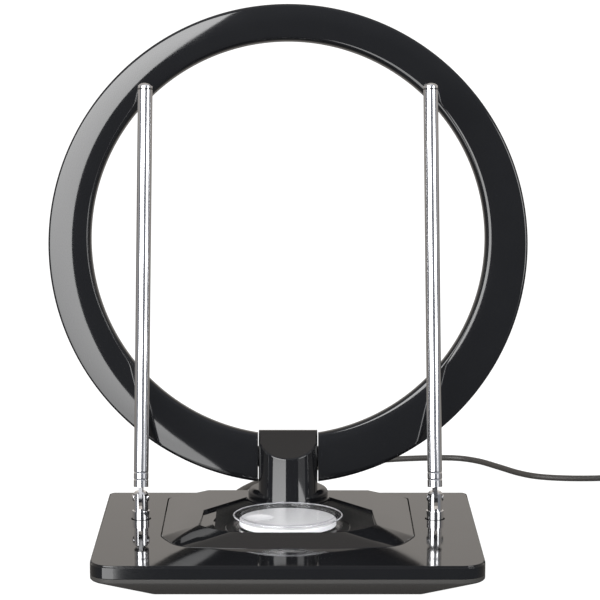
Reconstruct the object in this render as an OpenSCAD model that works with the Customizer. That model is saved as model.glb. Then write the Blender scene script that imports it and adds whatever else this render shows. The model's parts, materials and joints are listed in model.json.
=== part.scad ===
// Indoor television antenna: a glossy loop on a hinged neck, telescopic rods, a gain knob and a coax lead.
// Millimetres. +Z is up, -Y is the front. The origin is on the table, under the middle of the base.

/* [Base] */
// Width of the base
base_w = 176.4; // [168:0.2:210]
// Depth of the base
base_d = 150; // [146:1:180]
// Height of the top cover's upright rim
rim_h = 6; // [5.8:0.1:9]
// Height of the tapered lower shell
shell_h = 11.4; // [10.8:0.1:15]
// Radius of the base's front corners
base_corner_r = 11; // [8:0.5:14]
// Radius of the base's rear corners
base_rear_r = 3; // [2.8:0.1:6]
// Radius of the top cover's upper edge
edge_r = 0.8; // [0.5:0.1:1.2]
// Wall of the base's mouldings
wall = 2.2; // [1.8:0.1:2.4]
// How far the lower shell draws in at each side
side_inset = 27; // [22:0.5:30]
// How far the lower shell draws in at the front
front_inset = 18; // [14:1:19]
// Thickness of the non-slip pad
pad_t = 0.8; // [0.6:0.1:2]

/* [Platform] */
// Width of the raised platform at its foot
platform_w = 116.8; // [114:0.2:122]
// Width of the platform's flat top
platform_top_w = 81; // [80:0.5:86]
// Height of the platform over the base
platform_h = 4.5; // [4:0.1:6]
// Depth of the recess round the knob
recess_depth = 1.3; // [0.8:0.1:1.7]
// Gap between the platform and its pocket
panel_gap = 0.4; // [0.2:0.1:0.6]

/* [Knob] */
// Diameter of the knob
knob_d = 51.2; // [44:0.2:51.6]
// Height of the knob's rim over the base
knob_top = 7; // [6.8:0.1:8]
// Width of the knob's clear rim
knob_rim = 3.2; // [2:0.1:4]
// Diameter of the finger dimple
dimple_d = 14; // [10:0.5:15]
// Diameter of the control's shaft
shaft_d = 6; // [5:0.5:6.5]

/* [Neck] */
// Width of the neck
neck_w = 28.3; // [26:0.1:28.6]
// Radius of the neck's curved front
neck_front_r = 18.2; // [17:0.1:22]
// Diameter of the turntable disc
disc_d = 38.5; // [37:0.5:39.5]
// Thickness of the turntable disc
disc_t = 2.8; // [2.2:0.1:3.2]
// Height of the hinge over the platform
hinge_rise = 19.7; // [19:0.1:24]
// Diameter of the hinge pin
pin_d = 5; // [4:0.5:6]
// Diameter of the hinge's friction washers
washer_d = 10; // [9:0.5:12]

/* [Loop] */
// Outer diameter of the loop
loop_d = 231; // [215:1:250]
// Diameter of the loop's hole
hole_d = 190.4; // [176:0.4:192]
// How far the hole sits above the loop's centre
hole_up = 2.85; // [0:0.05:4]
// Thickness of the front half of the loop
loop_front_t = 6; // [5.5:0.1:7]
// Thickness of the rear half of the loop
loop_rear_t = 6; // [5.5:0.1:7]
// Radius of the front's domed section
dome_r = 60; // [50:1:90]
// Distance between the loop's two ends
loop_gap = 29.1; // [28.9:0.1:31]
// Lean of the loop from upright, in degrees
loop_lean = 8.7; // [5:0.1:12]

/* [Rods] */
// Distance of each rod from the platform's side
rod_gap = 11.3; // [9.6:0.1:13]
// Distance of the rods behind the middle
rod_y = 17.9; // [10:0.1:19]
// Outer diameter of the largest tube
rod_d = 7; // [6.4:0.1:7.4]
// Wall of the rod tubes
rod_wall = 0.4; // [0.35:0.01:0.45]
// Length of the largest tube
tube_len = 188.4; // [150:0.1:196]
// Lean of the rods from upright, in degrees
rod_lean = 8.7; // [5:0.1:11]
// Turn of each rod's lean towards the middle, in degrees
rod_toe = 4; // [0:0.5:8]
// Height of each rod's pivot over the base
pivot_rise = 10.3; // [10:0.1:12]
// Diameter of the swivel's collar
collar_d = 8.2; // [8:0.1:8.6]

/* [Cable] */
// Diameter of the coax cable
cable_d = 3.2; // [2.8:0.1:3.4]
// Diameter of the coax plug's metal sleeve
plug_d = 9.5; // [9:0.1:10]
// Diameter of the coax plug's grip
grip_d = 12; // [11:0.1:12.4]

/* [Hidden] */
$fn = 64;
hull_fn = 32;
thin = 0.01;

// Levels, from the table up
rim_z = pad_t + shell_h;
top_z = rim_z + rim_h;
floor_z = pad_t + wall;
platform_z = top_z + platform_h;
recess_z = platform_z - recess_depth;

// Fits, as a gap on the radius or between faces
running = 0.05;
press = 0.02;
slack = 0.3;
cut = 1;

// Base
lip_h = 1.6;
shoulder = [[0.008, 2], [0.03, 2.5]];
foot_corner_r = 2;
rear_inner_r = 1;
boss_d = 8;
boss_rise = 2.4;
boss_x = 50;
boss_front_y = -48;
boss_rear_y = 54;
screw_d = 3;
screw_head_d = 6;
screw_head_h = 1.8;
screw_len = 7;
cross_w = 0.9;
cross_l = 3.4;
pad_margin = 4;
pad_hole_d = 9;
pocket_depth = 3.5;
pocket_z = top_z - pocket_depth;
pocket_under_z = pocket_z - wall;

// Platform outlines: places on the right half of the foot, of the flat top and of the recess
platform_rear_y = 62;
platform_front_y = -41.8;
platform_side_y = -18;
front_turn_x = 20;
front_corner_in = 8.4;
front_corner_rise = 3.1;
crease_in = 2.7;
crease_y = -25.4;
top_rear_y = 59.5;
top_front_y = -29.8;
top_side_y = -14;
top_corner_x = 30;
top_side_out = 1;
top_rear_in = 2;
step_y = 15.7;
step_in_x = 17.4;
step_in_y = 47.6;
recess_edge = 0.7;
disc_land = 1;
dish_r = 34.8;
dish_flat_r = 29;
dish_depth = 2.4;
dish_z = recess_z - dish_depth;

// How far from each corner of an outline its curve starts, in the order of the outline's places
foot_curves = [10, 8, 0, 3, 2.5];
top_curves = [13, 0, 0, 0];
curve_steps = 6;

// Knob and gain control
knob_y = -3;
knob_gap = 0.6;
knob_z = dish_z + knob_gap;
knob_rim_z = top_z + knob_top;
knob_face_drop = 0.9;
knob_face_z = knob_rim_z - knob_face_drop;
knob_cap_t = 1.4;
knob_wall = 2;
knob_disc_t = 1.5;
knob_skirt_t = 1.2;
knob_hub_d = 12;
dimple_depth = 0.9;
dimple_x = -13.2;
dimple_y = -4;
board_w = 70;
board_d = 52;
board_y = -6;
board_t = 1.6;
board_rise = 2.6;
board_z = floor_z + board_rise;
board_top_z = board_z + board_t;
board_hole_x = 31;
board_hole_y = 22;
board_screw_d = 2;
board_screw_len = 3.6;
board_screw_head_d = 3.8;
board_screw_head_h = 1.4;
post_d = 5;
control_w = 16;
control_d = 14;
control_h = pocket_under_z - board_top_z - slack;
bushing_wall = 1;
bushing_d = shaft_d + 2 * bushing_wall;
bushing_z = dish_z - knob_gap;
shaft_foot_rise = 1;
shaft_foot_z = board_top_z + shaft_foot_rise;
disc_face_z = knob_face_z - knob_cap_t - running;
shaft_top_z = disc_face_z - knob_disc_t;
flat_depth = 1;
can_w = 18;
can_d = 18;
can_h = 3;
can_t = 0.4;
can_x = 19;
can_y = 8;

// Ballast, socket and gland
ballast_w = 82;
ballast_d = 32;
ballast_t = 4;
ballast_y = 41.5;
socket_x = 35;
socket_z = floor_z + 4;
socket_w = 9;
socket_l = 12;
socket_snout_d = 8;
socket_bore_d = 6;
socket_bore_l = 9;
socket_pin_d = 2;
gland_x = -35;
gland_d = 7;
gland_flange_d = 9;
gland_flange_t = 2;
gland_z = floor_z + gland_flange_d / 2 + slack;
gland_l = 14;
gland_collar_l = 2;
gland_tip_d = 5;

// Turntable and neck
disc_y = 46.5;
disc_z = platform_z;
disc_top_z = disc_z + disc_t;
hub_d = 16;
hub_bore_d = 8;
retainer_d = 26;
retainer_t = 1.6;
retainer_gap = 0.2;
hub_foot_z = pocket_z - retainer_gap;
hub_opening_d = 30;
retainer_screw_r = 6;
retainer_screw_len = 4;
retainer_screw_d = 2.4;
retainer_screw_head_d = 4;
retainer_screw_head_h = 1.2;
disc_edge_r = 1.4;
neck_front_y = 30;
neck_rear_y = 58;
neck_wall = 2.4;
neck_split_y = 46;
neck_top_rise = 12.3;
neck_slope_y = 48;
neck_slope_drop = 10.5;
neck_back_r = 9;
neck_corner_r = 3;
spigot_h = 5;
spigot_gap = 0.1;
bearing_l = 5;
neck_screw_x = 7;
neck_screw_z = 8.6;
neck_screw_sink = 4;
neck_screw_d = 2.5;
neck_screw_head_d = 4.6;
neck_screw_head_h = 1.6;
neck_screw_len = 14;
neck_boss_d = 5.4;
hinge_y = neck_split_y;
hinge_z = platform_z + hinge_rise;
neck_top_z = hinge_z + neck_top_rise;

// Loop
loop_r = loop_d / 2;
hole_r = hole_d / 2;
loop_drop = 12.8;
loop_up = loop_r - loop_drop;
crest_r = (loop_r + hole_r) / 2;
loop_edge_r = 1.5;
rear_dome_r = 150;
loop_wall = 2;
end_block = 13;
pin_reach = 11;
pin_length = loop_gap + 2 * pin_reach;
loop_fn = 180;
edge_steps = 6;
dome_steps = 14;
sharp_r = 0.2;
rear_floor = 2.5;

// Round of the front's inner edge, tangent to the dome where the two circles of the loop run alongside
inner_round = 3;
inner_round_r = hole_r + inner_round;
dome_z = loop_front_t - dome_r;
inner_round_z = dome_z + sqrt(pow(dome_r - inner_round, 2) - pow(crest_r - inner_round_r, 2));
inner_round_turn = atan2(inner_round_z - dome_z, inner_round_r - crest_r);

// Conductor strip, along the outer wall of the loop's hollow
strip_t = 1;
strip_w = 3.2;
strip_margin = 1;
strip_r = loop_r - loop_wall - strip_margin;
strip_inner_r = strip_r - strip_w;
strip_gap_deg = 2 * asin((loop_gap / 2 + end_block + strip_margin) / strip_inner_r);

// Rods
rod_x = platform_w / 2 + rod_gap;
pivot_z = top_z + pivot_rise;
collar_h = 4;
collar_sink = 1.2;
collar_gap = 0.6;
collar_hole_d = collar_d + 2 * collar_gap;
fork_d = rod_d;
fork_over = 2.9;
fork_bevel = 0.8;
slot_w = 1.9;
slot_floor = 5;
rivet_d = 2.5;
rivet_head_d = 3.6;
rivet_head_h = 0.5;
tongue_w = 5;
tongue_t = slot_w - 2 * running;
tube_foot = 5;
tube_top = tube_foot + tube_len;
foot_plug_l = 8;
crimp_depth = 0.2;
crimp_w = 1;
crimp_rises = [3.6, 6.9];
section_count = 5;
section_step = 0.15;
section_foot = 10;
section_rise = 2;
slide_lip = 3;
slide_collar = 6;
cap_h = 3.1;
cap_skirt = 1;
cap_socket = 2;
spindle_d = 6;
bush_d = 14;
bush_flange_t = 1.5;
contact_d = 11;
contact_t = 0.6;
contact_tail_w = 3;
contact_tail_l = 9;
clip_d = 10;
clip_t = 0.8;
clip_neck_d = 4.6;
clip_mouth = 3.7;
spindle_tail = 1.6;
bush_top_z = top_z - collar_sink;
bush_z = top_z - wall - bush_flange_t;
contact_z = bush_z - contact_t;
clip_z = contact_z - clip_t - running;

// Cable route behind the base, from the gland to the coil: x, y and the cable's lift off the table
cable_r = cable_d / 2;
cable_sides = 8;
cable_steps = 3;
coil_lift = 0.9;
gland_end_y = base_d / 2 + gland_l;
gland_run = 6;
route_floor = [
    [-34, 108, 3],
    [-32, 122, 0.4],
    [-29, 138, 0],
    [-23, 158, 0],
    [-12, 180, 0],
    [4, 200, 0],
    [26, 218, 0],
    [52, 230, 0],
    [74, 235, 0],
    [92, 235, 0],
    [104, 227, 0],
    [114, 212, 0],
    [124, 196, 0],
    [134, 187, 0],
    [148, 183, 0],
    [164, 182, 0.2],
    [180, 182, coil_lift],
    [192, 182, coil_lift]
];
route = concat(
    [for (run = [0, gland_run]) [gland_x, gland_end_y + run, gland_z]],
    [for (p = route_floor) [p[0], p[1], p[2] + cable_r]]
);
route_end = route[len(route) - 1];

// Coil of the spare length: two layers of loops that spiral in and then out, with a climb between them
coil_r = 24;
coil_space = 0.5;
coil_pitch = cable_d + coil_space;
coil_turns = 3;
coil_out_turns = 3.25;
coil_climb = 180;
coil_rings = 24;
coil_sides = 6;
coil_x = route_end[0] + cable_d;
coil_y = route_end[1] - coil_r;
coil_z = route_end[2];
coil_tail = 22;
coil_turn = 360 * coil_turns;
coil_end = coil_turn + 360 * coil_out_turns;
coil_inner_r = coil_r - coil_pitch * coil_turns;
coil_end_r = coil_inner_r + coil_pitch * coil_out_turns;
tie_t = 0.6;
tie_w = 5;
tie_gap = 0.25;
tie_angle = 200;

// Coax plug, lying beside the coil
plug_z = coil_z + coil_pitch;
grip_l = 24;
grip_tip_d = 5;
grip_taper = 7;
grip_groove = 0.8;
grip_ribs = 5;
grip_rib_start = 8;
grip_rib_step = 3;
grip_rib_w = 2.4;
grip_rib_slope = 0.6;
sleeve_l = 11;
sleeve_t = 0.5;
plug_pin_d = 2.3;
plug_pin_l = 9;
plug_core_l = 4;

// Points of an arc round c, from angle a0 to angle a1
function arc(c, r, a0, a1, n) =
    [for (i = [0:n]) let (a = a0 + (a1 - a0) * i / n) c + r * [cos(a), sin(a)]];
function flip_x(points) = [for (i = [len(points) - 1:-1:0]) [-points[i][0], points[i][1]]];

// Curve in place of the corner b between a and c, starting the distance t from it on both sides
function soft_corner(a, b, c, t) = t == 0 ? [b] :
    let (p = b + t * unit(a - b), q = b + t * unit(c - b))
    [for (i = [0:curve_steps]) let (s = i / curve_steps) (1 - s) * ((1 - s) * p + 2 * s * b) + s * s * q];

// Outline from the places on its right half, mirrored to the left, with a curve at each corner
module soft_outline(half, curves) {
    places = concat(half, flip_x(half));
    starts = concat(curves, [for (i = [len(curves) - 1:-1:0]) curves[i]]);
    count = len(places);
    polygon([for (i = [0:count - 1])
        each soft_corner(places[(i + count - 1) % count], places[i], places[(i + 1) % count], starts[i])]);
}

// Rectangle with corners of radius front and rear
module rounded_rect(w, d, front, rear) {
    translate([-w / 2, front - d / 2]) square([w, d - front - rear]);
    translate([front - w / 2, -d / 2]) square([w - 2 * front, d / 2]);
    translate([rear - w / 2, 0]) square([w - 2 * rear, d / 2]);
    for (s = [-1, 1]) {
        translate([s * (w / 2 - front), front - d / 2]) circle(front);
        translate([s * (w / 2 - rear), d / 2 - rear]) circle(rear);
    }
}

// Flat block with round corners of radius front and rear, and a round upper edge of radius e
module soft_slab(w, d, h, front, rear, e) {
    linear_extrude(h - e) rounded_rect(w, d, front, rear);
    linear_extrude(h) rounded_rect(w - 2 * e, d - 2 * e, front - e, rear - e);
    for (end = [-1, 1]) {
        r = end < 0 ? front : rear;
        translate([0, end * (d / 2 - e), h - e]) rotate([0, 90, 0])
            cylinder(r = e, h = w - 2 * r, center = true);
        for (s = [-1, 1]) translate([s * (w / 2 - r), end * (d / 2 - r), h - e])
            rotate_extrude() translate([r - e, 0]) circle(e);
    }
    for (s = [-1, 1]) translate([s * (w / 2 - e), (front - rear) / 2, h - e]) rotate([90, 0, 0])
        cylinder(r = e, h = d - front - rear, center = true);
}

// Screw with its point up and the underside of its head at the origin
module screw(d, length, head_d, head_h) {
    cylinder(d = d, h = length);
    translate([0, 0, -head_h]) difference() {
        cylinder(d = head_d, h = head_h);
        for (a = [0, 90]) rotate(a) cube([cross_l, cross_w, head_h], center = true);
    }
}

// Places that repeat

module at_bosses(rear) {
    for (s = [-1, 1]) translate([s * boss_x, rear ? boss_rear_y : boss_front_y, 0]) children();
}

module at_board_holes() {
    for (sx = [-1, 1], sy = [-1, 1])
        translate([sx * board_hole_x, board_y + sy * board_hole_y, 0]) children();
}

module at_rods() {
    for (s = [-1, 1]) translate([s * rod_x, rod_y, 0]) children();
}

module at_knob() {
    translate([0, knob_y, 0]) children();
}

module at_disc() {
    translate([0, disc_y, 0]) children();
}

module at_retainer_screws() {
    at_disc() for (a = [0, 120, 240]) rotate(a) translate([0, retainer_screw_r, 0]) children();
}

// Base

// Outline of the platform's foot, grown by g
module foot_outline(g) soft_outline([
    [front_turn_x, platform_front_y - g],
    [platform_w / 2 - front_corner_in + g / 2, platform_front_y + front_corner_rise - g],
    [platform_w / 2 - crease_in + g, crease_y - g / 2],
    [platform_w / 2 + g, platform_side_y],
    [platform_w / 2 + g, platform_rear_y + g]
], foot_curves);

module top_outline() soft_outline([
    [top_corner_x, top_front_y],
    [platform_top_w / 2 + top_side_out, top_side_y],
    [platform_top_w / 2, step_y],
    [platform_top_w / 2 - top_rear_in, top_rear_y]
], top_curves);

module recess_outline() difference() {
    soft_outline([
        [top_corner_x - recess_edge / 2, top_front_y + recess_edge],
        [platform_top_w / 2 + top_side_out - recess_edge, top_side_y],
        [platform_top_w / 2 - recess_edge, step_y],
        [step_in_x, step_in_y]
    ], top_curves);
    translate([0, disc_y]) circle(d = disc_d + 2 * disc_land);
}

module base_inside()
    rounded_rect(base_w - 2 * wall, base_d - 2 * wall, base_corner_r - wall, rear_inner_r);

module base_top_cover() color("#151517") difference() {
    union() {
        difference() {
            translate([0, 0, rim_z]) soft_slab(base_w, base_d, rim_h, base_corner_r, base_rear_r, edge_r);
            translate([0, 0, rim_z - cut]) linear_extrude(rim_h - wall + cut) base_inside();
        }
        translate([0, 0, pocket_under_z]) linear_extrude(top_z - wall / 2 - pocket_under_z)
            foot_outline(wall);
        at_bosses(false) translate([0, 0, floor_z + boss_rise])
            cylinder(d = boss_d, h = top_z - wall / 2 - floor_z - boss_rise);
        at_bosses(true) translate([0, 0, floor_z + boss_rise])
            cylinder(d = boss_d, h = pocket_z - wall / 2 - floor_z - boss_rise);
    }
    translate([0, 0, pocket_z]) linear_extrude(pocket_depth + cut) foot_outline(panel_gap);
    at_knob() translate([0, 0, pocket_under_z - cut]) cylinder(d = bushing_d + 2 * slack, h = wall + 2 * cut);
    at_disc() translate([0, 0, pocket_under_z - cut]) cylinder(d = hub_opening_d, h = wall + 2 * cut);
    at_rods() translate([0, 0, rim_z]) cylinder(d = collar_hole_d, h = rim_h + cut);
    for (rear = [false, true]) at_bosses(rear) translate([0, 0, floor_z])
        cylinder(d = screw_d + 2 * press, h = boss_rise + screw_len - wall);
}

// Tapered form of the lower shell: drawn in by the share f at height z
module shell_layer(f, z, h) {
    w = base_w - 2 * side_inset * f;
    d = base_d - front_inset * f;
    front = base_corner_r + (foot_corner_r - base_corner_r) * f;
    translate([0, front_inset * f / 2, z]) linear_extrude(h)
        rounded_rect(w, d, front, base_rear_r, $fn = hull_fn);
}

module shell_form() hull() {
    shell_layer(0, rim_z - lip_h, lip_h);
    for (s = shoulder) shell_layer(s[0], rim_z - s[1], thin);
    shell_layer(1, pad_t, thin);
}

module base_bottom_cover() color("#2b2a28") difference() {
    union() {
        difference() {
            shell_form();
            intersection() {
                translate([0, 0, wall]) shell_form();
                linear_extrude(rim_z) base_inside();
            }
        }
        for (rear = [false, true]) at_bosses(rear) translate([0, 0, floor_z - wall / 2])
            cylinder(d = boss_d + 2, h = boss_rise + wall / 2);
        at_board_holes() translate([0, 0, floor_z - wall / 2])
            cylinder(d = post_d, h = board_rise + wall / 2);
    }
    for (rear = [false, true]) at_bosses(rear) {
        translate([0, 0, -cut]) cylinder(d = screw_d + 2 * slack, h = rim_z);
        translate([0, 0, -cut]) cylinder(d = screw_head_d + 2 * slack, h = floor_z + cut);
    }
    at_board_holes() translate([0, 0, floor_z]) cylinder(d = board_screw_d + 2 * press, h = rim_z);
    at_socket() translate([0, 0, -cut]) cylinder(d = socket_snout_d + 2 * press, h = wall + 2 * cut);
    at_gland() translate([0, 0, -cut]) cylinder(d = gland_d + 2 * press, h = wall + 2 * cut);
}

module base_pad() color("#1d1d1d") difference() {
    pad_w = base_w - 2 * side_inset - 2 * pad_margin;
    pad_d = base_d - front_inset - 2 * pad_margin;
    translate([0, front_inset / 2, 0]) linear_extrude(pad_t) rounded_rect(pad_w, pad_d, foot_corner_r, foot_corner_r);
    for (rear = [false, true]) at_bosses(rear) translate([0, 0, -cut])
        cylinder(d = pad_hole_d, h = pad_t + 2 * cut);
}

module cover_screws() color("silver")
    for (rear = [false, true]) at_bosses(rear) translate([0, 0, floor_z])
        screw(screw_d, boss_rise + screw_len - wall - cut, screw_head_d, screw_head_h);

module centre_platform() color("#171718") difference() {
    union() {
        translate([0, 0, pocket_z]) linear_extrude(pocket_depth) foot_outline(0);
        hull() {
            translate([0, 0, top_z - thin]) linear_extrude(thin) foot_outline(0);
            translate([0, 0, platform_z - thin]) linear_extrude(thin) top_outline();
        }
    }
    translate([0, 0, recess_z]) linear_extrude(recess_depth + cut) recess_outline();
    intersection() {
        at_knob() rotate_extrude()
            polygon([
                [0, dish_z], [dish_flat_r, dish_z], [dish_r, recess_z], [dish_r, platform_z], [0, platform_z]
            ]);
        linear_extrude(platform_z + cut) recess_outline();
    }
    at_knob() translate([0, 0, pocket_z - cut]) cylinder(d = bushing_d + 2 * slack, h = rim_z);
    at_disc() translate([0, 0, pocket_z - cut]) cylinder(d = hub_d + 2 * running, h = rim_z);
}

// Inside the base

module ballast_plate() color("slategray")
    translate([-ballast_w / 2, ballast_y - ballast_d / 2, floor_z]) cube([ballast_w, ballast_d, ballast_t]);

module amplifier_board() color("darkgreen") difference() {
    translate([-board_w / 2, board_y - board_d / 2, board_z]) cube([board_w, board_d, board_t]);
    at_board_holes() translate([0, 0, board_z - cut])
        cylinder(d = board_screw_d + 2 * slack, h = board_t + 2 * cut);
}

module board_screws() color("silver")
    at_board_holes() translate([0, 0, board_top_z]) mirror([0, 0, 1])
        screw(board_screw_d, board_screw_len, board_screw_head_d, board_screw_head_h);

module shield_can() color("silver")
    translate([can_x - can_w / 2, can_y - can_d / 2, board_top_z]) difference() {
        cube([can_w, can_d, can_h]);
        translate([can_t, can_t, -cut]) cube([can_w - 2 * can_t, can_d - 2 * can_t, can_h - can_t + cut]);
    }

module gain_control() color("#30343a") at_knob() difference() {
    union() {
        translate([-control_w / 2, -control_d / 2, board_top_z]) cube([control_w, control_d, control_h]);
        translate([0, 0, board_top_z]) cylinder(d = bushing_d, h = bushing_z - board_top_z);
    }
    translate([0, 0, shaft_foot_z - running]) cylinder(d = shaft_d + 2 * running, h = platform_z);
}

// Places in the rear wall, with z pointing back into the base from its outer face
module at_socket() {
    translate([socket_x, base_d / 2, socket_z]) rotate([90, 0, 0]) children();
}

module at_gland() {
    translate([gland_x, base_d / 2, gland_z]) rotate([90, 0, 0]) children();
}

module dc_socket() color("#222222") difference() {
    union() {
        translate([socket_x - socket_w / 2, base_d / 2 - wall - socket_l, floor_z])
            cube([socket_w, socket_l, 2 * (socket_z - floor_z)]);
        at_socket() cylinder(d = socket_snout_d, h = wall + cut);
    }
    at_socket() translate([0, 0, -cut]) difference() {
        cylinder(d = socket_bore_d, h = socket_bore_l + cut);
        translate([0, 0, 2 * cut]) cylinder(d = socket_pin_d, h = socket_bore_l);
    }
}

module cable_gland() color("#1a1a1a") at_gland() rotate_extrude() polygon([
    [0, wall + gland_flange_t], [gland_flange_d / 2, wall + gland_flange_t],
    [gland_flange_d / 2, wall], [gland_d / 2, wall],
    [gland_d / 2, -gland_collar_l], [gland_tip_d / 2, -gland_l], [0, -gland_l]
]);

module rod_bushes() color("#3a3a3a") at_rods() difference() {
    union() {
        translate([0, 0, bush_z]) cylinder(d = bush_d, h = bush_flange_t);
        translate([0, 0, bush_z]) cylinder(d = collar_hole_d - 2 * press, h = bush_top_z - bush_z);
    }
    translate([0, 0, bush_z - cut]) cylinder(d = spindle_d + 2 * running, h = rim_z);
}

module rod_contacts() color("gold") at_rods() difference() {
    union() {
        translate([0, 0, contact_z]) cylinder(d = contact_d, h = contact_t);
        translate([-contact_tail_w / 2, -contact_d / 2 - contact_tail_l, contact_z])
            cube([contact_tail_w, contact_tail_l + contact_d / 4, contact_t]);
    }
    translate([0, 0, contact_z - cut]) cylinder(d = spindle_d + 2 * running, h = contact_t + 2 * cut);
}

// Knob

module knob_cap() color("#e8e8ee", 0.5) at_knob() difference() {
    translate([0, 0, knob_z]) cylinder(d = knob_d, h = knob_rim_z - knob_z);
    translate([0, 0, knob_face_z]) cylinder(d = knob_d - 2 * knob_rim, h = rim_z);
    translate([0, 0, knob_z - cut])
        cylinder(d = knob_d - 2 * knob_wall, h = knob_face_z - knob_cap_t - knob_z + cut);
    translate([dimple_x, dimple_y, knob_face_z]) intersection() {
        dimple_r = (dimple_d * dimple_d / 4 + dimple_depth * dimple_depth) / (2 * dimple_depth);
        translate([0, 0, dimple_r - dimple_depth]) sphere(dimple_r);
        translate([0, 0, -dimple_depth]) cylinder(d = dimple_d, h = 2 * dimple_depth);
    }
}

module knob_disc() color("white") at_knob() difference() {
    disc_r = knob_d / 2 - knob_wall - press;
    rotate_extrude() polygon([
        [0, knob_z], [knob_hub_d / 2, knob_z], [knob_hub_d / 2, disc_face_z - knob_disc_t],
        [disc_r - knob_skirt_t, disc_face_z - knob_disc_t], [disc_r - knob_skirt_t, knob_z],
        [disc_r, knob_z], [disc_r, disc_face_z], [0, disc_face_z]
    ]);
    knob_shaft_form(press, knob_z - cut);
}

// Control shaft from height z up, with a flat on its upper end, grown by g
module knob_shaft_form(g, z) difference() {
    translate([0, 0, z]) cylinder(d = shaft_d + 2 * g, h = shaft_top_z + g - z);
    translate([shaft_d / 2 - flat_depth + g, -shaft_d, knob_z]) cube([shaft_d, 2 * shaft_d, shaft_d * 2]);
}

module knob_shaft() color("silver") at_knob() knob_shaft_form(0, shaft_foot_z);

// Turntable and neck

// Outline of the neck from above, drawn in by s
module neck_outline(s) intersection() {
    translate([0, neck_front_y + neck_front_r]) circle(neck_front_r - s);
    translate([0, (neck_front_y + neck_rear_y) / 2])
        rounded_rect(neck_w - 2 * s, neck_rear_y - neck_front_y - 2 * s,
                     neck_corner_r - s / 2, neck_corner_r - s / 2);
}

// Side view of the neck, drawn in by s: sloped in front, rounded behind
module neck_side(s) {
    back_r = neck_back_r - s;
    rear_y = neck_rear_y - s;
    top = neck_top_z - s;
    front_z = neck_top_z - neck_slope_drop - s * neck_slope_drop / (neck_slope_y - neck_front_y);
    rotate([90, 0, 90]) linear_extrude(neck_w, center = true) polygon(concat(
        [[neck_front_y, disc_top_z - s], [neck_front_y, front_z], [neck_slope_y, top]],
        arc([rear_y - back_r, top - back_r], back_r, 90, 0, 8),
        [[rear_y, disc_top_z - s]]
    ));
}

module neck_form(s) intersection() {
    translate([0, 0, disc_top_z - s]) linear_extrude(neck_top_z - disc_top_z + s) neck_outline(s);
    neck_side(s);
}

module at_hinge() {
    translate([0, hinge_y, hinge_z]) children();
}

// Rod along X through the hinge
module hinge_rod(d, length) {
    at_hinge() rotate([0, 90, 0]) cylinder(d = d, h = length, center = true);
}

module at_neck_screws() {
    for (s = [-1, 1])
        translate([s * neck_screw_x, neck_rear_y - neck_screw_sink, disc_top_z + neck_screw_z])
            rotate([90, 0, 0]) children();
}

module neck_body() difference() {
    union() {
        difference() {
            neck_form(0);
            neck_form(neck_wall);
        }
        intersection() {
            neck_form(0);
            union() {
                difference() {
                    hinge_rod(washer_d, neck_w);
                    hinge_rod(washer_d + cut, neck_w - 2 * bearing_l);
                }
                at_neck_screws() translate([0, 0, -neck_screw_sink])
                    cylinder(d = neck_boss_d, h = neck_rear_y);
            }
        }
    }
    hinge_rod(pin_d + 2 * running, neck_w + cut);
    at_neck_screws() {
        cylinder(d = neck_screw_d + 2 * press, h = neck_screw_len + cut);
        translate([0, 0, -neck_screw_sink - cut])
            cylinder(d = neck_screw_head_d + 2 * slack, h = neck_screw_sink + cut);
    }
}

module behind_split() {
    translate([-neck_w, neck_split_y, 0]) cube([2 * neck_w, neck_w, neck_top_z + cut]);
}

module neck_front_shell() color("#1a1b1e") difference() {
    neck_body();
    behind_split();
}

module neck_rear_shell() color("#1c1c1e") intersection() {
    neck_body();
    behind_split();
}

module neck_screws() color("silver")
    at_neck_screws() screw(neck_screw_d, neck_screw_len, neck_screw_head_d, neck_screw_head_h);

module friction_washers() color("#4a4a4a") difference() {
    hinge_rod(washer_d, loop_gap - 2 * running);
    hinge_rod(washer_d + cut, neck_w);
    hinge_rod(pin_d + 2 * running, loop_gap);
}

module turntable_disc() color("#19191b") difference() {
    union() {
        at_disc() translate([0, 0, disc_z]) rotate_extrude() {
            square([disc_d / 2 - disc_edge_r, disc_t]);
            square([disc_d / 2, disc_t - disc_edge_r]);
            translate([disc_d / 2 - disc_edge_r, disc_t - disc_edge_r]) circle(disc_edge_r);
        }
        at_disc() translate([0, 0, hub_foot_z]) cylinder(d = hub_d, h = disc_z - hub_foot_z + disc_t / 2);
        translate([0, 0, disc_z + disc_t / 2]) linear_extrude(spigot_h + disc_t / 2)
            neck_outline(neck_wall + spigot_gap);
    }
    at_disc() translate([0, 0, hub_foot_z - cut]) cylinder(d = hub_bore_d, h = neck_top_z);
    at_retainer_screws() translate([0, 0, hub_foot_z - cut])
        cylinder(d = retainer_screw_d + 2 * press, h = retainer_screw_len + 2 * cut);
}

module turntable_retainer() color("silver") difference() {
    at_disc() translate([0, 0, hub_foot_z - retainer_t]) cylinder(d = retainer_d, h = retainer_t);
    at_disc() translate([0, 0, hub_foot_z - retainer_t - cut])
        cylinder(d = hub_bore_d, h = retainer_t + 2 * cut);
    at_retainer_screws() translate([0, 0, hub_foot_z - retainer_t - cut])
        cylinder(d = retainer_screw_d + 2 * press, h = retainer_t + 2 * cut);
}

module retainer_screws() color("silver")
    at_retainer_screws() translate([0, 0, hub_foot_z - retainer_t])
        screw(retainer_screw_d, retainer_t + retainer_screw_len,
              retainer_screw_head_d, retainer_screw_head_h);

// Loop, laid flat: x across, y up the loop from the hinge, z out of its front

module loop_place() {
    at_hinge() rotate([90 - loop_lean, 0, 0]) children();
}

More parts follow.
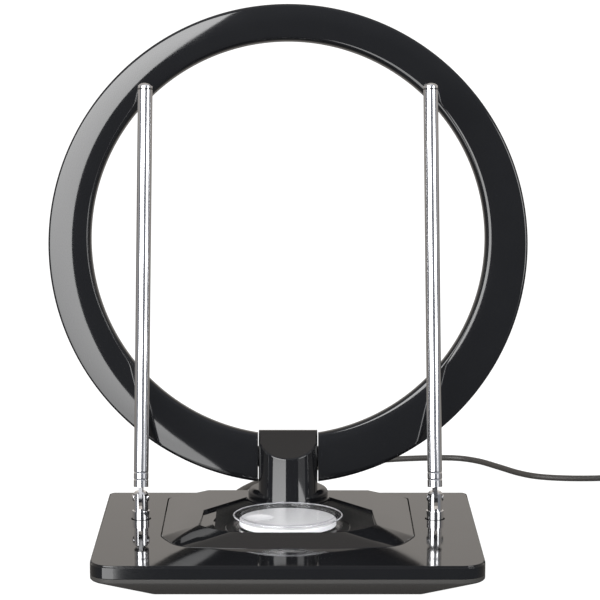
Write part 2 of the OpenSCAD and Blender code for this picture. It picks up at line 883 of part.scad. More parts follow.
// Section of one half: t thick at its crest, domed with radius dome, drawn in by s
module loop_section(t, dome, s) {
    crest = t - s;
    big = dome - s;
    edge = max(loop_edge_r - s, sharp_r);
    outer = loop_r - s;
    run = outer - edge - crest_r;
    edge_z = crest - big + sqrt((big - edge) * (big - edge) - run * run);
    turn = atan2(edge_z - crest + big, run);
    inner = hole_r - hole_up - loop_wall;
    inner_turn = acos((inner - crest_r) / big);
    polygon(concat(
        [[inner, 0], [outer, 0]],
        arc([outer - edge, edge_z], edge, 0, turn, edge_steps),
        arc([crest_r, crest - big], big, turn, inner_turn, dome_steps)
    ));
}

module loop_half(t, dome, s)
    translate([0, loop_up, 0]) rotate_extrude($fn = loop_fn) loop_section(t, dome, s);

module loop_hole(grow) translate([0, loop_up + hole_up, -cut])
    cylinder(r = hole_r + grow, h = loop_front_t + 2 * cut, $fn = loop_fn);

module loop_ends(half_w)
    translate([-half_w, -loop_up / 2, -cut]) cube([2 * half_w, loop_up, loop_front_t + 2 * cut]);

module half_pin_bore()
    rotate([0, 90, 0]) cylinder(d = pin_d + 2 * press, h = pin_length + 2 * press, center = true);

// What the round takes off the front's inner edge
module loop_inner_round() translate([0, loop_up + hole_up, 0]) rotate_extrude($fn = loop_fn) {
    round_top = loop_front_t + cut;
    round_arc = arc([inner_round_r, inner_round_z], inner_round, 180, inner_round_turn, edge_steps);
    round_end = round_arc[edge_steps];
    polygon(concat(
        [[hole_r - cut, round_top], [hole_r - cut, inner_round_z]],
        round_arc,
        [[round_end[0] - (round_top - round_end[1]) * tan(inner_round_turn), round_top]]
    ));
}

module loop_front_shell() color("#16181b") loop_place() difference() {
    loop_half(loop_front_t, dome_r, 0);
    loop_hole(0);
    loop_inner_round();
    difference() {
        translate([0, 0, -cut / 10]) loop_half(loop_front_t, dome_r, loop_wall);
        loop_hole(loop_wall);
        loop_ends(loop_gap / 2 + end_block);
    }
    loop_ends(loop_gap / 2);
    half_pin_bore();
}

module loop_rear_shell() color("#131416") loop_place() mirror([0, 0, 1]) difference() {
    loop_half(loop_rear_t, rear_dome_r, 0);
    loop_hole(0);
    difference() {
        translate([0, loop_up, -cut])
            cylinder(r = loop_r - loop_wall, h = loop_rear_t - rear_floor + cut, $fn = loop_fn);
        loop_hole(loop_wall);
        loop_ends(loop_gap / 2 + end_block);
    }
    loop_ends(loop_gap / 2);
    half_pin_bore();
}

module loop_conductor() color("goldenrod") loop_place()
    translate([0, loop_up, -loop_rear_t + rear_floor]) rotate(strip_gap_deg / 2 - 90)
        rotate_extrude(angle = 360 - strip_gap_deg, $fn = loop_fn)
            translate([strip_inner_r, 0]) square([strip_w, strip_t]);

module hinge_pin() color("silver") hinge_rod(pin_d, pin_length);

// Rods, each in a frame whose origin is its pivot

function section_r(k) = rod_d / 2 - (k - 1) * (rod_wall + section_step);
function section_foot_z(k) = k == 1 ? tube_foot : tube_foot + section_foot + (k - 2) * section_rise;

module fork_place(side) {
    translate([side * rod_x, rod_y, pivot_z]) rotate(side * rod_toe) children();
}

module rod_place(side) {
    fork_place(side) rotate([-rod_lean, 0, 0]) children();
}

module swivel_fork(side) color("#c9c9c9") fork_place(side) difference() {
    collar_top = collar_h - pivot_rise;
    union() {
        translate([0, 0, clip_z - spindle_tail - pivot_z])
            cylinder(d = spindle_d, h = bush_top_z - clip_z + spindle_tail);
        translate([0, 0, bush_top_z - pivot_z]) cylinder(d = collar_d, h = collar_top - bush_top_z + pivot_z);
        translate([0, 0, collar_top]) cylinder(d = fork_d, h = fork_over - fork_bevel - collar_top);
        translate([0, 0, fork_over - fork_bevel])
            cylinder(d1 = fork_d, d2 = fork_d - 2 * fork_bevel, h = fork_bevel);
    }
    translate([-slot_w / 2, -fork_d, -slot_floor]) cube([slot_w, 2 * fork_d, slot_floor + pivot_rise]);
    rotate([0, 90, 0]) cylinder(d = rivet_d + 2 * press, h = 2 * fork_d, center = true);
    translate([0, 0, clip_z - running - pivot_z]) difference() {
        cylinder(d = spindle_d + cut, h = clip_t + 2 * running);
        cylinder(d = clip_neck_d, h = clip_t + 2 * running);
    }
}

module swivel_clip(side) color("dimgray") fork_place(side) translate([0, 0, clip_z - pivot_z]) difference() {
    cylinder(d = clip_d, h = clip_t);
    translate([0, 0, -cut]) cylinder(d = clip_neck_d + 2 * press, h = clip_t + 2 * cut);
    translate([0, -clip_mouth / 2, -cut]) cube([clip_d, clip_mouth, clip_t + 2 * cut]);
}

module pivot_rivet(side) color("silver") fork_place(side) rotate([0, 90, 0]) {
    cylinder(d = rivet_d, h = fork_d, center = true);
    for (s = [0, 1]) mirror([0, 0, s]) translate([0, 0, fork_d / 2])
        cylinder(d1 = rivet_head_d, d2 = rivet_d, h = rivet_head_h);
}

module rod_foot(side) color("#bdbdbd") rod_place(side) difference() {
    union() {
        rotate([0, 90, 0]) cylinder(d = tongue_w, h = tongue_t, center = true);
        translate([-tongue_t / 2, -tongue_w / 2, 0]) cube([tongue_t, tongue_w, tube_foot + cut]);
        translate([0, 0, tube_foot]) cylinder(r = section_r(1) - rod_wall - press, h = foot_plug_l);
    }
    rotate([0, 90, 0]) cylinder(d = rivet_d + 2 * running, h = slot_w, center = true);
}

// Tube of section k: a collar at its foot slides in the tube before it, and a lip at its top holds the next
module section_tube(k) {
    r = section_r(k);
    foot = section_foot_z(k);
    bore = r - rod_wall;
    lip = section_r(k + 1) + running;
    collar = k == 1 ? r : section_r(k - 1) - rod_wall - running;
    rotate_extrude() polygon([
        [bore, foot], [collar, foot], [collar, foot + slide_collar], [r, foot + slide_collar],
        [r, tube_top], [lip, tube_top], [lip, tube_top - slide_lip], [bore, tube_top - slide_lip]
    ]);
}

module rod_tube(side) color("#d6d6d6") rod_place(side) difference() {
    section_tube(1);
    for (rise = crimp_rises) translate([0, 0, tube_foot + rise]) rotate_extrude()
        polygon([
            [rod_d / 2 - crimp_depth, 0], [rod_d / 2, -crimp_w / 2], [rod_d / 2 + cut, -crimp_w / 2],
            [rod_d / 2 + cut, crimp_w / 2], [rod_d / 2, crimp_w / 2]
        ]);
}

module rod_section(side, k) color("#cfcfcf") rod_place(side) section_tube(k);

module rod_core(side) color("#cfcfcf") rod_place(side) {
    foot = section_foot_z(section_count);
    translate([0, 0, foot]) cylinder(r = section_r(section_count), h = tube_top + cap_socket - foot);
    translate([0, 0, foot]) cylinder(r = section_r(section_count - 1) - rod_wall - running, h = slide_collar);
}

module tip_cap(side) color("#dddddd") rod_place(side) translate([0, 0, tube_top + running]) difference() {
    dome = rod_d / 2;
    rotate_extrude() polygon(concat(
        [[0, 0], [dome, 0]],
        [for (a = [0:10:90]) [dome * cos(a), cap_skirt + (cap_h - cap_skirt) * sin(a)]]
    ));
    translate([0, 0, -cut]) cylinder(r = section_r(section_count) + press, h = cap_socket + cut);
}

// Cable

// Smooth curve through the points p, with n steps from each to the next
function curve_at(a, b, c, d, t) =
    0.5 * (2 * b + (c - a) * t + (2 * a - 5 * b + 4 * c - d) * t * t + (3 * b - a - 3 * c + d) * t * t * t);
function curve(p, n) = concat(
    [for (i = [0:len(p) - 2], j = [0:n - 1])
        curve_at(p[max(i - 1, 0)], p[i], p[i + 1], p[min(i + 2, len(p) - 1)], j / n)],
    [p[len(p) - 1]]
);
function unit(v) = v / norm(v);

// Ring of the tube at p, square to the direction t
function tube_ring(p, t, r, sides) =
    let (across = unit(cross(t, [0, 0, 1])), up = cross(across, t))
    [for (i = [0:sides - 1]) let (a = 360 * (i + 0.5) / sides) p + r * cos(a) * across + r * sin(a) * up];

// Round tube along points, whose two ends are square to the directions first and last
module tube_along(points, r, sides, first, last) {
    count = len(points);
    rings = [for (i = [0:count - 1])
        let (t = i == 0 ? first : i == count - 1 ? last : unit(points[i + 1] - points[i - 1]))
        tube_ring(points[i], t, r, sides)];
    corners = [for (ring = rings) each ring];
    walls = [for (i = [0:count - 2], j = [0:sides - 1])
        let (a = i * sides + j, b = i * sides + (j + 1) % sides)
        each [[a, b, b + sides], [a, b + sides, a + sides]]];
    front = [for (j = [1:sides - 2]) [0, j + 1, j]];
    end = (count - 1) * sides;
    back = [for (j = [1:sides - 2]) [end, end + j, end + j + 1]];
    polyhedron(corners, concat(walls, front, back));
}

module coax_cable() color("#3a3633")
    tube_along(curve(route, cable_steps), cable_r, cable_sides, [0, 1, 0], [1, 0, 0]);

// Centre line of the coil: in on the lower layer, and out again on the upper one
function coil_radius(a) = coil_inner_r + coil_pitch * abs(a - coil_turn) / 360;
function coil_share(a) = min(max((a - coil_turn) / coil_climb + 0.5, 0), 1);
function coil_height(a) = coil_z + coil_pitch * (1 - cos(180 * coil_share(a))) / 2;
coil_turn_points = [for (i = [0:coil_rings * coil_end / 360])
    let (a = 360 * i / coil_rings, r = coil_radius(a))
    [coil_x + r * sin(a), coil_y + r * cos(a), coil_height(a)]];
coil_points = concat(
    [[coil_x - cable_d, coil_y + coil_r, coil_z]],
    coil_turn_points,
    [for (s = [0.5, 1]) [coil_x + coil_end_r, coil_y - coil_tail * s, plug_z]]
);

// Least gap of the coil to itself, between points at least half a turn apart
coil_gap = min([for (i = [0:len(coil_points) - 1], j = [i + coil_rings / 2:1:len(coil_points) - 1])
    norm(coil_points[i] - coil_points[j])]) - cable_d;
function path_length(p) =
    let (steps = [for (i = [1:len(p) - 1]) norm(p[i] - p[i - 1])])
    steps * [for (s = steps) 1];
echo(coil_gap = coil_gap, cable_length = path_length(curve(route, cable_steps)) + path_length(coil_points));

module cable_coil() color("#35312e") tube_along(coil_points, cable_r, coil_sides, [1, 0, 0], [0, -1, 0]);

module cable_tie() color("#202020") {
    inner = coil_inner_r - cable_r - tie_gap;
    outer = max(coil_r, coil_end_r) + cable_r + tie_gap;
    low = coil_z - cable_r - tie_gap;
    high = plug_z + cable_r + tie_gap;
    translate([coil_x, coil_y, 0]) rotate(tie_angle) rotate([90, 0, 0]) linear_extrude(tie_w, center = true)
        difference() {
            translate([inner - tie_t, low - tie_t])
                square([outer - inner + 2 * tie_t, high - low + 2 * tie_t]);
            translate([inner, low]) square([outer - inner, high - low]);
        }
}

// Plug, with its axis along the cable's end
module plug_place() {
    translate([coil_x + coil_end_r, coil_y - coil_tail, plug_z]) rotate([90, 0, 0]) children();
}

// One raised rib of the grip, as its depth below the crest and its place along the grip
rib = [
    [grip_groove, 0],
    [0, grip_rib_slope],
    [0, grip_rib_w - grip_rib_slope],
    [grip_groove, grip_rib_w]
];

module plug_grip() color("#1b1b1b") plug_place() rotate_extrude() polygon(concat(
    [[0, 0], [grip_tip_d / 2, 0], [grip_d / 2 - grip_groove, grip_taper]],
    [for (i = [0:grip_ribs - 1], p = rib)
        [grip_d / 2 - p[0], grip_rib_start + grip_rib_step * i + p[1]]],
    [[grip_d / 2 - grip_groove, grip_l], [0, grip_l]]
));

module plug_sleeve() color("#c8c8c8") plug_place() translate([0, 0, grip_l]) difference() {
    cylinder(d = plug_d, h = sleeve_l);
    translate([0, 0, -cut]) cylinder(d = plug_d - 2 * sleeve_t, h = sleeve_l + 2 * cut);
}

module plug_core() color("white") plug_place() translate([0, 0, grip_l]) difference() {
    cylinder(d = plug_d - 2 * sleeve_t - 2 * press, h = plug_core_l);
    translate([0, 0, -cut]) cylinder(d = plug_pin_d + 2 * press, h = plug_core_l + 2 * cut);
}

module plug_pin() color("#d0d0d0") plug_place() translate([0, 0, grip_l]) {
    cylinder(d = plug_pin_d, h = plug_pin_l - plug_pin_d / 2);
    translate([0, 0, plug_pin_l - plug_pin_d / 2]) sphere(d = plug_pin_d);
}

base_top_cover();
base_bottom_cover();
centre_platform();
base_pad();
cover_screws();
ballast_plate();
amplifier_board();
board_screws();
shield_can();
gain_control();
dc_socket();
cable_gland();
rod_bushes();
rod_contacts();
knob_cap();
knob_disc();
knob_shaft();
turntable_disc();
turntable_retainer();
retainer_screws();
neck_front_shell();
neck_rear_shell();
neck_screws();
friction_washers();
loop_front_shell();
loop_rear_shell();
loop_conductor();
hinge_pin();
swivel_fork(-1);  // left_swivel_fork
swivel_clip(-1);  // left_swivel_clip
pivot_rivet(-1);  // left_pivot_rivet
rod_foot(-1);  // left_rod_foot
rod_tube(-1);  // left_rod_tube
rod_section(-1, 2);  // left_section_2
rod_section(-1, 3);  // left_section_3
rod_section(-1, 4);  // left_section_4
rod_core(-1);  // left_section_5
tip_cap(-1);  // left_tip_cap
swivel_fork(1);  // right_swivel_fork
swivel_clip(1);  // right_swivel_clip
pivot_rivet(1);  // right_pivot_rivet
rod_foot(1);  // right_rod_foot
rod_tube(1);  // right_rod_tube
rod_section(1, 2);  // right_section_2
rod_section(1, 3);  // right_section_3
rod_section(1, 4);  // right_section_4
rod_core(1);  // right_section_5
tip_cap(1);  // right_tip_cap
coax_cable();
cable_coil();
cable_tie();
plug_grip();
plug_sleeve();
plug_core();
plug_pin();
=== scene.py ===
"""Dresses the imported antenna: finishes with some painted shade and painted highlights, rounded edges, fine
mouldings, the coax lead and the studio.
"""
import json
import math

import bpy
from mathutils import Matrix, Vector


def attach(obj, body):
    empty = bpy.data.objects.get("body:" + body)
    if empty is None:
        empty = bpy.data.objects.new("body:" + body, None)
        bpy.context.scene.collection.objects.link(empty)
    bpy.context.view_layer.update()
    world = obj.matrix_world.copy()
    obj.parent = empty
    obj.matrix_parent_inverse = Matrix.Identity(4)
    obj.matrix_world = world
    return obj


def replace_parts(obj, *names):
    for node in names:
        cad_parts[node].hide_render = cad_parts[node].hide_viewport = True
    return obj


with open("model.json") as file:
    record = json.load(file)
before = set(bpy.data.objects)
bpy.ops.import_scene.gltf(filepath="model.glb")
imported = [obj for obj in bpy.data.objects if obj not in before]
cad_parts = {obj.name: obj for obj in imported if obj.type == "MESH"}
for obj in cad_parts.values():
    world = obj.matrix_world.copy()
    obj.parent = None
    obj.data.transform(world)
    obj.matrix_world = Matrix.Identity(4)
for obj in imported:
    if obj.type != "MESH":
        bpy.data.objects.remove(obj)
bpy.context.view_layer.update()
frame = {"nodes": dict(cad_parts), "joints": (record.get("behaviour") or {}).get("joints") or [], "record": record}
nodes = frame["nodes"]
joints = {row["name"]: row for row in frame["joints"]}
MM = 0.001


def joint_place(name):
    """Where a joint is, in millimetres."""
    return [v / MM for v in joints[name]["pos_m"]]


# Camera, at the photograph's viewing angle
CAMERA_PLACE = (0.0026, -1.280, 0.3217)
CAMERA_PITCH = 81.3
CAMERA_LENS = 168.0
SENSOR_WIDTH = 36.0
FRAME_WIDTH = 600
FRAMING = 6.55

# Coax lead: points given in millimetres, as x, y and the lift of the cable off the table
CABLE_D = 3.2
GLAND_EXIT = (-35.0, 89.0, 7.8)
GLAND_RUN = 6.0
COIL_LIFT = 0.9
ROUTE_FLOOR = [
    (-34, 108, 3), (-32, 122, 0.4), (-29, 138, 0), (-23, 158, 0), (-12, 180, 0), (4, 200, 0),
    (26, 218, 0), (52, 230, 0), (74, 235, 0), (92, 235, 0), (104, 227, 0), (114, 212, 0),
    (124, 196, 0), (134, 187, 0), (148, 183, 0), (164, 182, 0.2),
    (180, 182, COIL_LIFT), (192, 182, COIL_LIFT),
]
ROUTE_STEPS = 6
CABLE_ROUND_STEPS = 6
COIL_R = 24.0
COIL_PITCH = 3.7
COIL_TURNS = 3
COIL_OUT_TURNS = 3.25
COIL_CLIMB = 180.0
COIL_STEP = 7.5
COIL_TAIL = 22.0
COIL_TAIL_STEPS = 2

# Loop, in millimetres: x across, y up the loop from the hinge, z out of its front
HINGE = joint_place("loop_tilt")
LOOP_LEAN = 8.7
LOOP_R = 115.5
HOLE_R = 95.2
HOLE_UP = 2.85
LOOP_UP = 102.7
LOOP_HALF_T = 6.0
LOOP_GAP = 29.1
CREST_R = (LOOP_R + HOLE_R) / 2
FRONT_DOME_R = 60.0
REAR_DOME_R = 150.0
LOOP_EDGE_R = 1.5
FRONT_INNER_ROUND = 3.0
REAR_INNER_ROUND = 0.8
SEAM = 0.12
LOOP_COLUMNS = 288
DOME_ROWS = 28
ROUND_ROWS = 10
BLEND_SHARE = 0.1

# Knob, in millimetres: its cap, the insert in it, the ring of painted highlight for the light line on its rim and
# the finger dimple
KNOB_Y = joint_place("knob_turn")[1]
KNOB_R = 25.6
KNOB_FOOT = 19.6
KNOB_RIM = 25.2
KNOB_FACE = 24.3
KNOB_UNDER = 22.0
KNOB_FACE_R = 22.0
KNOB_BORE_R = 21.0
KNOB_ROUND = 0.45
INSERT_R = 22.4
INSERT_BORE_R = 19.5
INSERT_FOOT = 20.4
INSERT_UNDER = 21.4
INSERT_TOP = 22.9
INSERT_ROUND = 0.3
LINE_R = 25.15
LINE_Z = 24.8
LINE_HALF_W = 0.36
LINE_STEPS = 16
DIMPLE = (-13.2, -7.0)
DIMPLE_R = 7.0
DIMPLE_DEPTH = 0.9
LATHE_COLUMNS = 192
FACE_ROWS = 56
KNOB_MIDDLE_R = KNOB_FACE_R / FACE_ROWS

# Well round the knob, in millimetres, lined with a sheet of painted shade: the recess's edge is given by places on
# its right half
RECESS_Z = 21.4
RECESS_EDGE = ((29.65, -29.1), (40.8, -14.0), (39.8, 15.7), (17.4, 47.6))
DISC_LAND_R = 20.25
WELL_Z = 19.0
WELL_R = 34.8
WELL_FLAT_R = 29.0
WELL_INNER_R = 24.0
WELL_LEFT_X = -34.0
WELL_LIFT = 0.03
WELL_MARGIN = 0.05
WELL_COLUMNS = 360
FAR = 100.0

# Seam under each rod's tip, drawn as a ring of painted shade, in millimetres: along the rod from its pivot
TIP_ALONG = 193.45
TIP_R = 3.5
TIP_SHADE_R = 0.27
TIP_COLUMNS = 48
TIP_ROWS = 10

# Turntable disc, in millimetres
_, DISC_Y, DISC_FOOT = joint_place("neck_swivel")
DISC_R = 19.25
DISC_TOP = 27.3
DISC_WALL = 2.0
DISC_ROUND = 3.2
DISC_INNER_R = 10.0

# Neck's front moulding, in millimetres
NECK_HALF_W = 14.15
NECK_FRONT_Y = 30.0
NECK_FRONT_R = 14.6
NECK_SIDE_ROUND = 1.2
NECK_SPLIT_Y = 46.0
NECK_SLOPE = 10.5 / 18.0
NECK_SLOPE_Z = 44.2
NECK_FOOT = 23.0
NECK_LEAN = 7.2
NECK_FLARE = 0.0024
NECK_EDGE_R = 1.1
NECK_INSET = 0.4
NECK_ARC_STEPS = 40
NECK_ROUND_STEPS = 8
NECK_SIDE_STEPS = 4
NECK_WALL_ROWS = 12


# Camera

def add_camera():
    data = bpy.data.cameras.new("camera")
    data.lens = CAMERA_LENS
    data.sensor_width = SENSOR_WIDTH
    data.shift_x = FRAMING / FRAME_WIDTH
    camera = bpy.data.objects.new("camera", data)
    camera.location = CAMERA_PLACE
    camera.rotation_euler = (math.radians(CAMERA_PITCH), 0, 0)
    bpy.context.scene.collection.objects.link(camera)
    bpy.context.scene.camera = camera


# Meshes

def mesh_object(name, points, faces, smooth=True):
    mesh = bpy.data.meshes.new(name)
    mesh.from_pydata([tuple(p) for p in points], [], faces)
    mesh.update()
    if smooth:
        mesh.shade_smooth()
    piece = bpy.data.objects.new(name, mesh)
    bpy.context.scene.collection.objects.link(piece)
    return piece


# Node trees

def add_node(tree, kind, **values):
    made = tree.nodes.new(kind)
    for key, value in values.items():
        setattr(made, key, value)
    return made


def set_inputs(made, **values):
    for key, value in values.items():
        made.inputs[key.replace("_", " ")].default_value = value
    return made


def new_material(name, color, roughness, **values):
    material = bpy.data.materials.new(name)
    material.use_nodes = True
    tree = material.node_tree
    shader = tree.nodes["Principled BSDF"]
    set_inputs(shader, Base_Color=(*color, 1), Roughness=roughness, **values)
    return material, tree, shader


def piece_place(tree):
    """Coordinates of the piece in metres."""
    return add_node(tree, "ShaderNodeTexCoord").outputs["Object"]


def noise(tree, grains, detail=3.0):
    """Noise with a number of grains to a metre along x, y and z."""
    mapping = set_inputs(add_node(tree, "ShaderNodeMapping"), Scale=grains)
    tree.links.new(piece_place(tree), mapping.inputs["Vector"])
    made = set_inputs(add_node(tree, "ShaderNodeTexNoise"), Scale=1.0, Detail=detail)
    tree.links.new(mapping.outputs["Vector"], made.inputs["Vector"])
    return made.outputs["Fac"]


def spread(tree, value, low, high, start=0.3, end=0.7):
    """Stretches value from start..end, or else from noise's usual range, to low..high."""
    made = add_node(tree, "ShaderNodeMapRange")
    set_inputs(made, From_Min=start, From_Max=end, To_Min=low, To_Max=high)
    tree.links.new(value, made.inputs["Value"])
    return made.outputs["Result"]


def height_share(tree, low, high):
    """Goes from 0 to 1 between two heights, in millimetres."""
    split = add_node(tree, "ShaderNodeSeparateXYZ")
    tree.links.new(piece_place(tree), split.inputs["Vector"])
    return spread(tree, split.outputs["Z"], 0, 1, low * MM, high * MM)


def color_mix(tree, share):
    """A node that goes from its first colour to its second: the two colour inputs and the output."""
    made = add_node(tree, "ShaderNodeMix", data_type="RGBA")
    tree.links.new(share, made.inputs[0])
    first, second = [s for s in made.inputs if s.type == "RGBA"]
    return first, second, next(s for s in made.outputs if s.type == "RGBA")


def tint(tree, value, dark, light):
    first, second, color = color_mix(tree, value)
    first.default_value = (*dark, 1)
    second.default_value = (*light, 1)
    return color


def vary_color(tree, shader, value, dark, light):
    tree.links.new(tint(tree, value, dark, light), shader.inputs["Base Color"])


def vary_roughness(tree, shader, value, low, high):
    tree.links.new(spread(tree, value, low, high), shader.inputs["Roughness"])


def bump(tree, shader, value, height, strength=1.0):
    made = set_inputs(add_node(tree, "ShaderNodeBump"), Strength=strength, Distance=height)
    tree.links.new(value, made.inputs["Height"])
    tree.links.new(made.outputs["Normal"], shader.inputs["Normal"])


# Finishes: heights and distances at which colours change, in millimetres: the painted shade on the lower cover,
# the painted highlight seen through the knob's dimple and the edge of the knob's face
SHADE_FOOT = 2.0
SHADE_TOP = 10.0
DIMPLE_HIGHLIGHT = (-13.2, -1.0)
DIMPLE_HIGHLIGHT_EDGE = 1.0
FACE_EDGE = 0.05


def gloss_black():
    material, tree, shader = new_material("gloss_black", (0.0036, 0.0037, 0.0042), 0.05, IOR=1.5)
    vary_roughness(tree, shader, noise(tree, (22, 22, 22), 4.0), 0.035, 0.075)
    mottle = noise(tree, (60, 60, 60), 2.0)
    vary_color(tree, shader, mottle, (0.0030, 0.0031, 0.0036), (0.0043, 0.0044, 0.0049))
    bump(tree, shader, noise(tree, (45, 45, 45), 1.0), 0.00002)
    return material


def collar_black():
    """The turntable's collar: duller than the shells round it."""
    color = (0.0036, 0.0037, 0.0042)
    material, tree, shader = new_material("collar_black", color, 0.12, Specular_IOR_Level=0.28)
    vary_roughness(tree, shader, noise(tree, (60, 60, 60)), 0.09, 0.15)
    return material


def satin_black_and_shade():
    """The lower cover: a fine moulded grain, and painted shade that makes it darker towards the foot."""
    color = (0.045, 0.043, 0.041)
    material, tree, shader = new_material("satin_black_and_shade", color, 0.5, Specular_IOR_Level=0.25)
    # painted shade: darker towards the foot, where the floor shades the cover
    height = height_share(tree, SHADE_FOOT, SHADE_TOP)
    vary_color(tree, shader, height, (0.016, 0.0155, 0.015), (0.029, 0.028, 0.0265))
    grain = noise(tree, (2200, 2200, 2200), 2.0)
    vary_roughness(tree, shader, grain, 0.42, 0.58)
    bump(tree, shader, grain, 0.00002, 0.3)
    return material


def chrome():
    """Bright plating with fine streaks along the rods."""
    material, tree, shader = new_material("chrome", (0.80, 0.80, 0.81), 0.09, Metallic=1.0)
    vary_roughness(tree, shader, noise(tree, (700, 700, 9)), 0.05, 0.10)
    vary_color(tree, shader, noise(tree, (260, 260, 30)), (0.72, 0.72, 0.735), (0.86, 0.86, 0.865))
    return material


def clear_plastic():
    material, tree, shader = new_material("clear_plastic", (0.97, 0.97, 0.99), 0.02, IOR=1.01)
    set_inputs(shader, Transmission_Weight=1.0, Coat_Weight=0.8, Coat_IOR=1.6, Coat_Roughness=0.16)
    vary_roughness(tree, shader, noise(tree, (90, 90, 90)), 0.01, 0.06)
    return material


def white_plastic():
    material, tree, shader = new_material("white_plastic", (0.74, 0.74, 0.75), 0.4)
    vary_color(tree, shader, noise(tree, (300, 300, 300)), (0.71, 0.71, 0.72), (0.77, 0.77, 0.78))
    vary_roughness(tree, shader, noise(tree, (900, 900, 900)), 0.33, 0.47)
    return material


def two_tone_white_and_highlight():
    """The knob's insert: a white wall, and a grey face with a painted highlight, a paler patch placed so that it
    shows through the dimple.
    """
    material, tree, shader = new_material("two_tone_white_and_highlight", (0.70, 0.70, 0.71), 0.4)
    # painted highlight: a paler patch on the face where the dimple is seen
    away = add_node(tree, "ShaderNodeVectorMath", operation="DISTANCE")
    away.inputs[1].default_value = Vector((*DIMPLE_HIGHLIGHT, INSERT_TOP)) * MM
    tree.links.new(piece_place(tree), away.inputs[0])
    from_highlight = spread(tree, away.outputs["Value"], 0, 1, (DIMPLE_R - DIMPLE_HIGHLIGHT_EDGE) * MM, DIMPLE_R * MM)
    face = tint(tree, from_highlight, (0.55, 0.55, 0.55), (0.44, 0.44, 0.44))
    height = height_share(tree, INSERT_TOP - INSERT_ROUND, INSERT_TOP - FACE_EDGE)
    wall, top, color = color_mix(tree, height)
    wall.default_value = (0.86, 0.86, 0.87, 1)
    tree.links.new(face, top)
    tree.links.new(color, shader.inputs["Base Color"])
    vary_roughness(tree, shader, noise(tree, (900, 900, 900)), 0.33, 0.47)
    return material


def painted_rim_highlight():
    """A painted highlight for the cap's polished edge: grey colour standing for the light from inside the clear
    plastic that comes out there.
    """
    material, tree, shader = new_material("painted_rim_highlight", (0.35, 0.35, 0.36), 0.15)
    vary_color(tree, shader, noise(tree, (160, 160, 160), 2.0), (0.16, 0.16, 0.17), (0.48, 0.48, 0.49))
    return material


def painted_shade_black():
    """Painted shade: a dull near-black for the sheet over the floor round the knob and for the rings in the seams
    under the rods' tips.
    """
    color = (0.007, 0.007, 0.007)
    material, tree, shader = new_material("painted_shade_black", color, 0.5, Specular_IOR_Level=0.08)
    vary_roughness(tree, shader, noise(tree, (1800, 1800, 1800), 2.0), 0.42, 0.6)
    return material


def zinc_steel():
    material, tree, shader = new_material("zinc_steel", (0.60, 0.60, 0.62), 0.3, Metallic=1.0)
    vary_color(tree, shader, noise(tree, (400, 400, 400), 2.0), (0.50, 0.50, 0.52), (0.68, 0.68, 0.69))
    vary_roughness(tree, shader, noise(tree, (800, 800, 800)), 0.2, 0.42)
    return material


def foot_steel():
    """The flat feet of the rods: duller than the plated tubes."""
    material, tree, shader = new_material("foot_steel", (0.15, 0.15, 0.155), 0.35, Metallic=1.0)
    vary_color(tree, shader, noise(tree, (400, 400, 120), 2.0), (0.13, 0.13, 0.135), (0.17, 0.17, 0.175))
    vary_roughness(tree, shader, noise(tree, (800, 800, 200)), 0.30, 0.40)
    return material


def rubber():
    material, tree, shader = new_material("rubber", (0.03, 0.03, 0.03), 0.75)
    grain = noise(tree, (2500, 2500, 2500), 2.0)
    vary_roughness(tree, shader, grain, 0.65, 0.85)
    vary_color(tree, shader, grain, (0.024, 0.024, 0.024), (0.037, 0.037, 0.036))
    bump(tree, shader, grain, 0.00004, 0.5)
    return material


def cable_jacket():
    material, tree, shader = new_material("cable_jacket", (0.028, 0.026, 0.023), 0.42)
    grain = noise(tree, (1200, 1200, 1200))
    vary_roughness(tree, shader, grain, 0.36, 0.5)
    vary_color(tree, shader, noise(tree, (70, 70, 70), 2.0), (0.025, 0.023, 0.020), (0.032, 0.029, 0.026))
    bump(tree, shader, grain, 0.00002, 0.4)
    return material


def matte_black():
    material, tree, shader = new_material("matte_black", (0.03, 0.03, 0.03), 0.55)
    grain = noise(tree, (1800, 1800, 1800), 2.0)
    vary_roughness(tree, shader, grain, 0.48, 0.65)
    vary_color(tree, shader, grain, (0.025, 0.025, 0.025), (0.035, 0.035, 0.035))
    return material


def board_green():
    material, tree, shader = new_material("board_green", (0.02, 0.12, 0.04), 0.4)
    vary_color(tree, shader, noise(tree, (350, 40, 40), 1.0), (0.012, 0.09, 0.03), (0.03, 0.16, 0.06))
    return material


def brass():
    material, tree, shader = new_material("brass", (0.75, 0.55, 0.22), 0.3, Metallic=1.0)
    patina = noise(tree, (200, 200, 200))
    vary_color(tree, shader, patina, (0.62, 0.44, 0.16), (0.82, 0.62, 0.28))
    vary_roughness(tree, shader, patina, 0.22, 0.42)
    return material


FINISHES = {
    "gloss_black": gloss_black(),
    "chrome": chrome(),
    "clear": clear_plastic(),
    "white_plastic": white_plastic(),
    "steel": zinc_steel(),
    "rubber": rubber(),
    "cable_jacket": cable_jacket(),
    "matte_black": matte_black(),
    "board_green": board_green(),
    "brass": brass(),
}
FOOT_FINISH = foot_steel()
# painted shade: the dull near-black for the knob's well and the seams under the rods' tips
SHADE_FINISH = painted_shade_black()
OWN_FINISHES = {
    "left_rod_foot": FOOT_FINISH,
    "right_rod_foot": FOOT_FINISH,
    # painted shade towards the foot of the lower cover
    "base_bottom_cover": satin_black_and_shade(),
    "neck_collar": collar_black(),
    # painted highlight under the knob's dimple
    "knob_insert": two_tone_white_and_highlight(),
    # painted highlight ring on the knob's rim
    "knob_rim_highlight": painted_rim_highlight(),
    # painted shade in the knob's well and in the seams under the rods' tips
    "knob_well_shade": SHADE_FINISH,
    "left_tip_shade_ring": SHADE_FINISH,
    "right_tip_shade_ring": SHADE_FINISH,
}


def wear(piece, slot):
    piece.data.materials.clear()
    piece.data.materials.append(OWN_FINISHES.get(piece.name, FINISHES[slot]))


